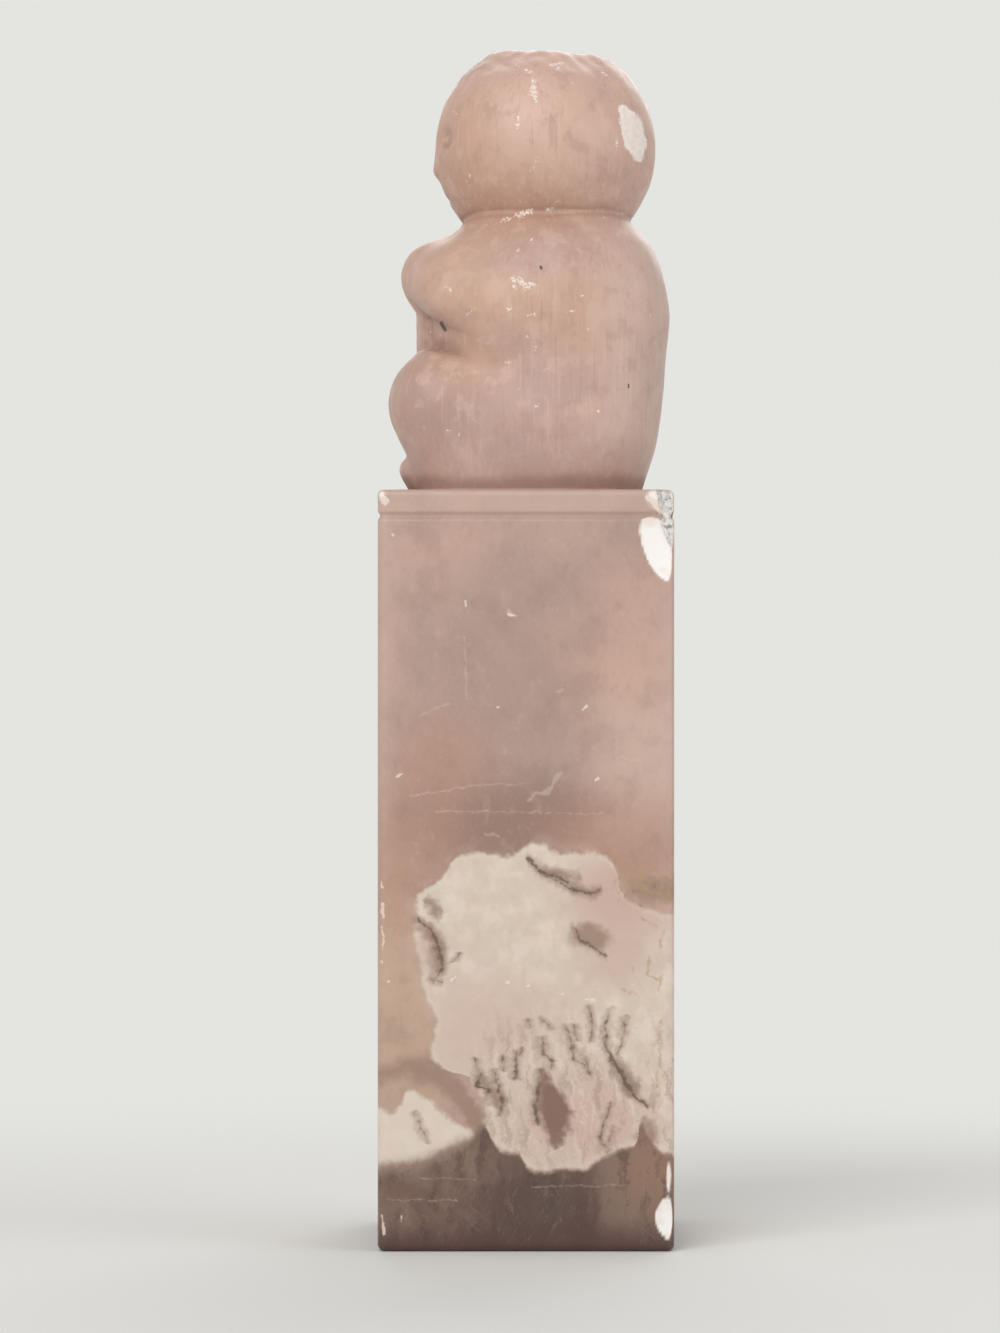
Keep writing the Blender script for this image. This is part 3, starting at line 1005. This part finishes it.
def cloud_colour(stone, coat):
    """The cream cloud and bank, with rosy parts, upright streaks, veins in brown haze and a mauve kernel.

    Their hand-drawn edges are bent and frayed, below a grey brown band and a thin veil. Away from the +X
    side the edges wander and blur, and spindle-shaped smudges stand in for the drawn veins.
    """
    g, facing = stone.g, stone.facing
    _, across, up = g.parts(stone.bent)
    top = g.profile(across, ACROSS, CLOUD_TOP, UP)
    foot = g.profile(across, ACROSS, CLOUD_FOOT, UP)
    left = g.profile(up, LEFT_UP, CLOUD_LEFT, ACROSS)
    crest = g.profile(across, ACROSS, BANK_TOP, UP)
    ragged = stone.noise(1.1, 3, 0.55)
    patchy = stone.noise(0.5, 4, 0.55, shift=(3, 1, 5))
    buried = g.ease(facing, 1, 0)
    wild = g.times(g.line(patchy, 6, -3), buried)
    up = g.plus(up, wild)
    across = g.plus(across, wild)
    above = g.minus(up, foot)
    inside = g.least(g.minus(top, up), g.minus(across, left), above)
    within = g.least(g.minus(crest, up), above)
    frayed = g.line(ragged, 0.8, -0.4)
    blur = g.line(buried, 2, 1)
    cloud = g.ease(g.math("DIVIDE", g.plus(inside, frayed), blur), -0.12, 0.42)
    bank = g.ease(g.math("DIVIDE", g.plus(within, frayed), blur), -0.15, 0.6)
    softness = g.ease(across, -3, -6, 0.3, 1.3)
    below = g.ease(g.math("DIVIDE", above, softness), 0.9, -0.9)
    white = g.most(cloud, bank)

    coat.shade("band", 0.75, stone.gap(stone.wavy, BANDS), 0.9, -0.7, facing)
    coat.shade("rosy", 0.22, inside, -1.3, -0.1, g.ease(patchy, 0.46, 0.58))
    milk = Coat(stone, g.blend(g.ease(patchy, 0.4, 0.66), stone.finish.cloud, stone.finish.milk))
    milk.tones(stone.swayed, CLOUD_TONES)
    milk.shade("rosy_deep", 0.2, ragged, 0.5, 0.34)
    milk.shade("milk", 0.35, inside, 0.9, 0.2)
    milk.lay("milk", 0.5, bank)
    coat.colour = g.blend(white, coat.colour, milk.colour)

    # Upright streaks low in the cloud
    fibres = g.vector("ADD", stone.wavy, g.joined(0, g.times(stone.z, 0.12), 0))
    streaks = stone.noise(1, 4, 0.6, stretch=(0.9, 1.35, 0.3), place=fibres)
    zone = g.times(stone.spot(stone.place, (2, 3, 13.2), (34, 30, 6.4), 0.5), white)
    zone = g.times(zone, g.most(g.ease(stone.y, -5.5, -2), buried))
    coat.shade("haze", 0.42, streaks, 0.5, 0.64, zone)
    coat.shade("milk", 0.6, streaks, 0.46, 0.34, zone)
    coat.shade("vein", 0.9, streaks, 0.62, 0.7, zone, stone.inward)

    # Smudges on the far sides
    buried = g.times(white, buried)
    spindles = stone.noise(1, 2, 0.5, stretch=(0.8, 0.8, 0.2), place=stone.crisp)
    patches = stone.noise(0.26, 1, 0.5, shift=(5, 2, 8))
    where = g.times(g.ease(patches, 0.5, 0.6), buried)
    coat.shade("rosy_deep", 0.5, patchy, 0.5, 0.36, buried)
    coat.shade("haze", 0.8, spindles, 0.55, 0.68, where)
    coat.shade("vein", 0.8, spindles, 0.65, 0.72, g.ease(where, 0.3, 0.8))

    # Haze, kernel, veins and crackle on the +X side
    cloudy = g.line(ragged, 1.2, -0.6)
    haze = g.ease(g.plus(stone.gap(stone.wavy, HAZES), cloudy), 0.75, -0.6)
    for centre, radii in POOLS:
        haze = g.most(haze, stone.spot(stone.wavy, centre, radii, 0.45))
    coat.lay("haze", 0.9, haze, facing)
    kernel = g.plus(stone.gap(stone.wavy, KERNEL), g.times(cloudy, 0.5))
    coat.shade("haze", 0.55, kernel, 0.7, 0, facing)
    coat.shade("kernel", 0.95, kernel, 0.3, -0.4, facing)
    broken = g.line(stone.noise(1.9, 4, 0.65), 0.9, -0.45)
    near = g.plus(stone.gap(stone.crisp, VEINS), broken)
    coat.shade("haze", 0.6, near, 0.6, -0.1, facing)
    coat.shade("vein", 0.9, near, 0.08, -0.26, facing)
    amber = g.times(g.ease(g.plus(stone.gap(stone.crisp, AMBERS), broken), 0.12, -0.2), facing)
    lump = stone.spot(stone.wavy, *LUMP, 0.5)
    coat.lay("amber", 0.6, g.most(amber, g.times(lump, g.ease(broken, -0.06, 0.1))))
    coat.lay("vein", 0.6, lump, g.ease(broken, -0.1, -0.2))
    return below


def foot_colour(stone, coat, below):
    """The dark foot: umber with soft upright streaks, reddest at the seal face."""
    g, finish = stone.g, stone.finish
    grain = stone.noise(1, 4, 0.6, stretch=(0.9, 0.9, 0.16), place=stone.wavy)
    patchy = stone.noise(0.28, 3)
    earth = Coat(stone, g.blend(g.ease(patchy, 0.4, 0.66), finish.foot, finish.foot_pale))
    earth.tones(stone.swayed, FOOT_TONES)
    earth.shade("foot_dark", 0.6, grain, 0.48, 0.64)
    earth.shade("foot_pale", 0.45, grain, 0.46, 0.34)
    earth.shade("foot_red", 0.9, stone.z, 3.4, 0.2)
    coat.colour = g.blend(below, coat.colour, earth.colour)


def figure_colour(stone):
    """The figure's body: ochre and mauve mottling, a brown hem and upright file strokes."""
    g, finish = stone.g, stone.finish
    broad = stone.noise(0.24, stretch=(1, 1, 0.8))
    patchy = stone.noise(0.5, 5, 0.62, shift=(1, 5, 2))
    coat = Coat(stone, g.blend(g.ease(broad, 0.42, 0.6), finish.mauve, finish.figure))
    coat.tones(stone.swayed, FIGURE_TONES)
    coat.shade("mottle", 0.42, patchy, 0.52, 0.64)
    coat.shade("blotch", 0.45, patchy, 0.47, 0.36)
    coat.shade("hem", 0.5, stone.z, 70.5, 64.6)
    strokes = stone.noise(1, 3, 0.6, stretch=(3, 3, 0.16))
    where = g.ease(stone.noise(0.16, 1), 0.38, 0.56, 0, 0.6)
    where = g.plus(where, g.times(g.ease(stone.y, -3, 3, 0.1, 0.4), g.ease(stone.z, 66, 70)))
    coat.shade("mottle", 0.45, strokes, 0.54, 0.68, where)
    coat.shade("blotch", 0.5, strokes, 0.45, 0.33, where)
    return coat.colour, strokes, where


def wear_colour(stone, coat):
    """Grime in hollows, pale worn arrises, chips, glints, a white inclusion, dark nicks and broken stone."""
    g, finish = stone.g, stone.finish
    marks = {
        name: g.node("ShaderNodeAttribute", output="Fac", attribute_name=name)
        for name in ("broken", "crystal", "hollow", "arris", "glint", "inclusion")
    }
    grains = stone.noise(2.3, 4, 0.72)
    coarse = g.minus(grains, 0.5)
    coat.lay("grime", 1, marks["hollow"], g.ease(stone.figure, 0, 1, 0.55, 0.4))
    bright = g.times(g.ease(stone.y, 11.6, 12.2, 0.4, 0.9), g.ease(stone.figure, 0, 1, 1, 0.4))
    worn = g.times(marks["arris"], g.ease(stone.noise(0.8, 3), 0.4, 0.6))
    coat.lay("milk", 0.9, worn, bright)
    side = g.ease(stone.x, 4, 6)
    ragged = g.times(coarse, 0.4)
    coat.shade("milk", 0.28, g.plus(stone.gap(stone.crisp, PALE_MARKS), ragged), 0.1, -0.12, side)
    chips = g.least(stone.gap(stone.crisp, HIGH_MARKS), stone.gap(stone.crisp, LOW_MARKS))
    chips = g.times(g.ease(g.plus(chips, ragged), 0.06, -0.06), side)
    specks = g.ease(stone.noise(1.15, 2, 0.7, shift=(2, 8, 5)), 0.73, 0.76)
    coat.lay("chip", 0.7, g.most(chips, g.times(specks, g.ease(stone.inward, 0, 0.2))))
    sparkle = g.line(stone.noise(4.5, 2, 0.6), 2.4, -1.2)
    coat.shade("chip", 0.8, g.plus(marks["glint"], sparkle), 0.72, 1.05, g.ease(marks["glint"], 0.1, 0.4))
    white = g.ease(g.plus(marks["inclusion"], g.times(coarse, 1.1)), 0.32, 0.74)
    white = g.times(white, g.ease(marks["inclusion"], 0.02, 0.15))
    coat.lay("inclusion", 0.95, white, g.ease(grains, 0.35, 0.6, 0.75))
    coat.shade("nick", 0.95, stone.gap(stone.place, DARK_NICKS), 0.06, -0.04, g.ease(stone.x, 5.9, 6.2))
    crystal = g.blend(g.ease(grains, 0.38, 0.58), finish.crystal, finish.broken)
    bare = g.blend(g.ease(stone.noise(0.6), 0.45, 0.65, 0, 0.7), finish.broken, finish.fracture)
    bare = g.blend(marks["crystal"], bare, crystal)
    coat.colour = g.blend(marks["broken"], coat.colour, bare)
    return marks


def stone_material(finish):
    """The stone: block, cloud, foot and figure, wear, tool marks and polish, all in millimetres."""
    material = bpy.data.materials.new("clouded_stone")
    g = emptied(material)
    stone = Stone(g, finish)
    coat, medium = block_colour(stone)
    below = cloud_colour(stone, coat)
    foot_colour(stone, coat, below)
    figure, strokes, where = figure_colour(stone)
    coat.colour = g.blend(stone.figure, coat.colour, figure)
    marks = wear_colour(stone, coat)

    # Tool marks: upright file strokes on the figure, fine scratches on the block and grains in the break
    scratches = [stone.scratched(*slant) for slant in SCRATCHES]
    cuts = g.times(g.most(*scratches), g.ease(stone.noise(0.15, 1), 0.45, 0.6))
    coat.lay("milk", 0.08, cuts)
    filing = g.times(strokes, g.times(stone.figure, g.times(where, 1.1)))
    height = g.minus(filing, g.times(cuts, 0.1))
    height = g.plus(height, g.times(stone.noise(3.2, 4, 0.75), g.times(marks["crystal"], 5)))
    bump = g.node("ShaderNodeBump", {"Strength": 0.4, "Distance": 0.00012, "Height": height})
    polish = g.ease(stone.figure, 0, 1, finish.polish, finish.filed)
    rough = g.plus(polish, g.times(g.minus(medium, 0.5), 0.2))
    rough = g.line(g.most(marks["broken"], marks["hollow"]), 0.25, rough)
    shader = g.node("ShaderNodeBsdfPrincipled", {
        "Base Color": coat.colour, "Roughness": rough, "Normal": bump, "IOR": 1.54,
        "Subsurface Weight": finish.translucency, "Subsurface Radius": (1.0, 0.55, 0.4),
        "Subsurface Scale": 0.0012,
    })
    g.show("ShaderNodeOutputMaterial", shader)
    return material


def linear(*screen):
    """A screen colour from 0 to 255 as the light that it stands for."""
    share = np.array(screen) / 255
    return tuple(float(v) for v in np.where(share > 0.04045, ((share + 0.055) / 1.055) ** 2.4, share / 12.92))


def measure(name, description, default):
    return bpy.props.FloatProperty(
        name=name, description=description, default=default, min=0, precision=5, unit="LENGTH"
    )


def tint(name, description, *screen):
    return bpy.props.FloatVectorProperty(
        name=name, description=description, default=linear(*screen), min=0, max=1, subtype="COLOR", size=3
    )


def portion(name, description, default):
    return bpy.props.FloatProperty(
        name=name, description=description, default=default, min=0, max=1, subtype="FACTOR"
    )


class SealShape(bpy.types.PropertyGroup):
    """Sizes of the stone"""

    block_width: measure("Block Width", "Side of the square block", float(HIGH[0] - LOW[0]))
    corner_radius: measure("Corner Radius", "Rounding of the block's upright arrises", 0.00075)
    filing_depth: measure("Filing Depth", "How uneven the file left the figure", 0.00003)
    columns: bpy.props.IntProperty(name="Columns", description="Points round the stone", default=320, min=60)


class StoneFinish(bpy.types.PropertyGroup):
    """Tones and polish of the stone"""

    block: tint("Block", "Body colour of the block", 188, 160, 147)
    dusk: tint("Dusk", "Mauve grey shade of the block", 172, 145, 134)
    dusk_deep: tint("Deep Dusk", "Brown shade over the cloud", 151, 123, 111)
    blush: tint("Blush", "Pink mottling of the block", 198, 163, 149)
    pale: tint("Pale", "Light stone by the arrises", 207, 179, 165)
    rust: tint("Rust", "Rusty stain", 178, 139, 121)
    rust_pale: tint("Pale Rust", "Light rusty stain", 205, 162, 142)
    tan: tint("Tan", "Tan stone left of the cloud", 195, 166, 145)
    tan_deep: tint("Deep Tan", "Darker tan stone", 187, 157, 136)
    band: tint("Band", "Grey brown band over the bank", 150, 122, 104)
    cloud: tint("Cloud", "Cream of the cloud", 213, 197, 181)
    milk: tint("Milk", "Palest part of the cloud", 223, 209, 194)
    rosy: tint("Rosy", "Pinkish part of the cloud", 209, 185, 172)
    rosy_deep: tint("Deep Rosy", "Pinker part of the cloud", 203, 174, 161)
    haze: tint("Haze", "Brown haze round the veins", 156, 129, 112)
    vein: tint("Vein", "Dark veins", 104, 82, 68)
    kernel: tint("Kernel", "Mauve kernel low in the cloud", 131, 99, 89)
    amber: tint("Amber", "Yellow brown crackle", 178, 146, 112)
    foot: tint("Foot", "Umber foot of the block", 115, 88, 77)
    foot_pale: tint("Pale Foot", "Lighter umber", 132, 107, 95)
    foot_warm: tint("Warm Foot", "Orange umber", 146, 114, 95)
    foot_dark: tint("Dark Foot", "Dark streaks of the foot", 80, 60, 53)
    foot_red: tint("Red Foot", "Reddish edge at the seal face", 80, 52, 48)
    figure: tint("Figure", "Body colour of the knob", 200, 167, 152)
    ochre: tint("Ochre", "Warm mottling of the figure", 200, 163, 142)
    mauve: tint("Mauve", "Cool mottling of the figure", 190, 159, 149)
    mottle: tint("Mottle", "Light mottling of the figure", 213, 182, 165)
    blotch: tint("Blotch", "Dark mottling of the figure", 181, 144, 130)
    hem: tint("Hem", "Brown at the foot of the robe", 178, 147, 136)
    head: tint("Head", "Body colour of the head", 204, 168, 151)
    brow: tint("Brow", "Light upper part of the head", 212, 177, 160)
    cheek: tint("Cheek", "Orange side of the head", 200, 158, 137)
    cheek_deep: tint("Deep Cheek", "Brown low on the head", 190, 148, 128)
    nape: tint("Nape", "Shaded back of the head", 196, 162, 147)
    inclusion: tint("Inclusion", "White inclusion in the head", 247, 236, 229)
    grime: tint("Grime", "Dirt in the hollows", 134, 98, 83)
    chip: tint("Chip", "Small bright chips", 238, 225, 215)
    nick: tint("Nick", "Dark nicks", 74, 48, 40)
    broken: tint("Broken", "Fresh broken stone", 248, 244, 240)
    fracture: tint("Fracture", "Pinkish shade of fresh stone", 238, 222, 212)
    crystal: tint("Crystal", "Grey grains in broken stone", 205, 199, 192)
    polish: portion("Polish", "Roughness of the block", 0.36)
    filed: portion("Filed", "Roughness of the figure", 0.44)
    translucency: portion("Translucency", "Share of light that passes under the skin", 0.12)


class StudioStage(bpy.types.PropertyGroup):
    """Surroundings and camera"""

    backdrop: tint("Backdrop", "Pale floor and surroundings", 228, 228, 225)
    camera_distance: measure("Camera Distance", "From the stone's axis to the lens", 0.45)
    camera_height: measure("Camera Height", "Of the lens over the floor", 0.04928)
    camera_aside: measure("Camera Aside", "Of the lens towards the figure's front", 0.00219)
    floor_radius: measure("Floor Radius", "Of the round floor", 2.0)


def placed(name, data):
    """A new object in the scene, at the origin."""
    made = bpy.data.objects.new(name, data)
    bpy.context.scene.collection.objects.link(made)
    return made


class SEAL_OT_carve_stone(bpy.types.Operator):
    """Carve the stone: one closed skin over the block and the seated figure, with its finish"""

    bl_idname = "seal.carve_stone"
    bl_label = "Carve Stone"

    def execute(self, context):
        shape, finish = context.scene.seal_shape, context.scene.seal_finish
        half = shape.block_width * MM / 2
        plan = block_plan(shape.columns, half, shape.corner_radius * MM)
        lower = block_rows(plan, half)
        upper = figure_rows(shape.columns, lambda place: whole(place, shape))
        rows = np.concatenate([lower, shelf_rows(lower[-1], upper[0]), upper])
        rows = settled(lambda place: carved(place, shape), rows, SETTLING_ROUNDS)
        mesh, points = closed_mesh("carved_stone", rows)
        for name, values in surface_marks(points, shape).items():
            mesh.attributes.new(name, "FLOAT", "POINT").data.foreach_set("value", values.astype(np.float32))
        mesh.materials.append(stone_material(finish))
        stone = placed("carved_stone", mesh)
        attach(stone, "root")
        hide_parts(NODE)
        return {"FINISHED"}


# Stage: sensor in millimetres, how many of the picture's columns the near face fills at its width in metres,
# and how near the stone the floor stays matt
SENSOR_WIDTH = 36
PICTURE_COLUMNS = 1000
FACE_COLUMNS = 297
FACE_WIDTH = 0.025
MATT_FLOOR, SHOWN_FLOOR = 0.05, 0.16
FLOOR_POINTS = 96

# Lights: place, size and power
LIGHTS = {
    "key_light": ((0.7, -0.35, 0.55), 0.6, 4.4),
    "fill_light": ((0.35, 0.75, 0.3), 0.6, 1.5),
    "back_light": ((-0.7, 0.1, 0.5), 0.6, 2.8),
}
AIM_SHARE = 0.55


def pale_world(backdrop):
    """Even light from all round, and the backdrop's own colour where camera, glossy and clear rays see it."""
    world = bpy.data.worlds.new("studio_world")
    g = emptied(world)
    rays = g.tree.nodes.new("ShaderNodeLightPath").outputs
    mirrored = g.most(rays["Is Glossy Ray"], rays["Is Transmission Ray"])
    seen = g.most(rays["Is Camera Ray"], mirrored)
    shown = g.node("ShaderNodeBackground", {"Color": backdrop, "Strength": 1})
    light = g.node("ShaderNodeBackground", {"Color": (1, 0.99, 0.97), "Strength": 0.45})
    g.show("ShaderNodeOutputWorld", g.node("ShaderNodeMixShader", {0: seen, 1: light, 2: shown}))
    bpy.context.scene.world = world


def floor_material(backdrop):
    """Matt near the stone, so that it keeps the shadow, and the backdrop's own colour farther out."""
    material = bpy.data.materials.new("pale_floor")
    g = emptied(material)
    reach = g.vector("LENGTH", g.node("ShaderNodeTexCoord", output="Object"), output=1)
    rays = g.tree.nodes.new("ShaderNodeLightPath").outputs
    far = g.times(g.ease(reach, MATT_FLOOR, SHOWN_FLOOR), rays["Is Camera Ray"])
    matt = g.node("ShaderNodeBsdfDiffuse", {"Color": backdrop})
    plain = g.node("ShaderNodeEmission", {"Color": backdrop, "Strength": 1})
    g.show("ShaderNodeOutputMaterial", g.node("ShaderNodeMixShader", {0: far, 1: matt, 2: plain}))
    return material


def soft_light(name, place, size, power):
    """A square area light that faces the stone."""
    lamp = bpy.data.lights.new(name, "AREA")
    lamp.size = size
    lamp.energy = power
    light = placed(name, lamp)
    light.location = place
    aim = Vector((0, 0, float(HIGH[2]) * AIM_SHARE))
    light.rotation_euler = (aim - Vector(place)).to_track_quat("-Z", "Y").to_euler()


class SEAL_OT_set_stage(bpy.types.Operator):
    """Set the stage: pale floor and surroundings, soft lights and the camera"""

    bl_idname = "seal.set_stage"
    bl_label = "Set Stage"

    def execute(self, context):
        scene, stage = context.scene, context.scene.seal_stage
        scene.view_settings.view_transform = "Standard"
        pale_world(stage.backdrop)
        angle = np.linspace(0, 2 * np.pi, FLOOR_POINTS, endpoint=False)
        ring = np.stack([np.cos(angle), np.sin(angle), np.zeros(FLOOR_POINTS)], axis=-1) * stage.floor_radius
        mesh = bpy.data.meshes.new("floor")
        mesh.from_pydata(ring.tolist(), [], [list(range(FLOOR_POINTS))])
        mesh.materials.append(floor_material(stage.backdrop))
        floor = placed("floor", mesh)
        floor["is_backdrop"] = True
        for name, (place, size, power) in LIGHTS.items():
            soft_light(name, place, size, power)
        lens = bpy.data.cameras.new("camera")
        lens.sensor_fit = "HORIZONTAL"
        lens.sensor_width = SENSOR_WIDTH
        near_face = stage.camera_distance - scene.seal_shape.block_width / 2
        lens.lens = SENSOR_WIDTH / PICTURE_COLUMNS * near_face / (FACE_WIDTH / FACE_COLUMNS)
        lens.clip_start = 0.01
        camera = placed("camera", lens)
        camera.location = (stage.camera_distance, -stage.camera_aside, stage.camera_height)
        camera.rotation_euler = (math.pi / 2, 0, math.pi / 2)
        scene.camera = camera
        return {"FINISHED"}


class SEAL_PT_panel(bpy.types.Panel):
    """Settings and steps of the seal stone"""

    bl_idname = "SEAL_PT_panel"
    bl_label = "Carved Seal Stone"
    bl_space_type = "VIEW_3D"
    bl_region_type = "UI"
    bl_category = "Seal"

    def draw(self, context):
        layout, scene = self.layout, context.scene
        for group in (scene.seal_shape, scene.seal_finish, scene.seal_stage):
            column = layout.column()
            for name in group.bl_rna.properties.keys():
                if name not in {"name", "rna_type"}:
                    column.prop(group, name)
        layout.operator("seal.carve_stone")
        layout.operator("seal.set_stage")


CLASSES = (SealShape, StoneFinish, StudioStage, SEAL_OT_carve_stone, SEAL_OT_set_stage, SEAL_PT_panel)


def register():
    for cls in CLASSES:
        bpy.utils.register_class(cls)
    bpy.types.Scene.seal_shape = bpy.props.PointerProperty(type=SealShape)
    bpy.types.Scene.seal_finish = bpy.props.PointerProperty(type=StoneFinish)
    bpy.types.Scene.seal_stage = bpy.props.PointerProperty(type=StudioStage)


def unregister():
    del bpy.types.Scene.seal_stage
    del bpy.types.Scene.seal_finish
    del bpy.types.Scene.seal_shape
    for cls in reversed(CLASSES):
        bpy.utils.unregister_class(cls)


def plain(box):
    return [[float(v) for v in corner] for corner in box]


def main():
    cad_box = plain(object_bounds())
    register()
    bpy.ops.seal.carve_stone()
    bpy.ops.seal.set_stage()
    {"cad": cad_box, "visual": plain(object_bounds())}


if __name__ == "__main__":
    main()
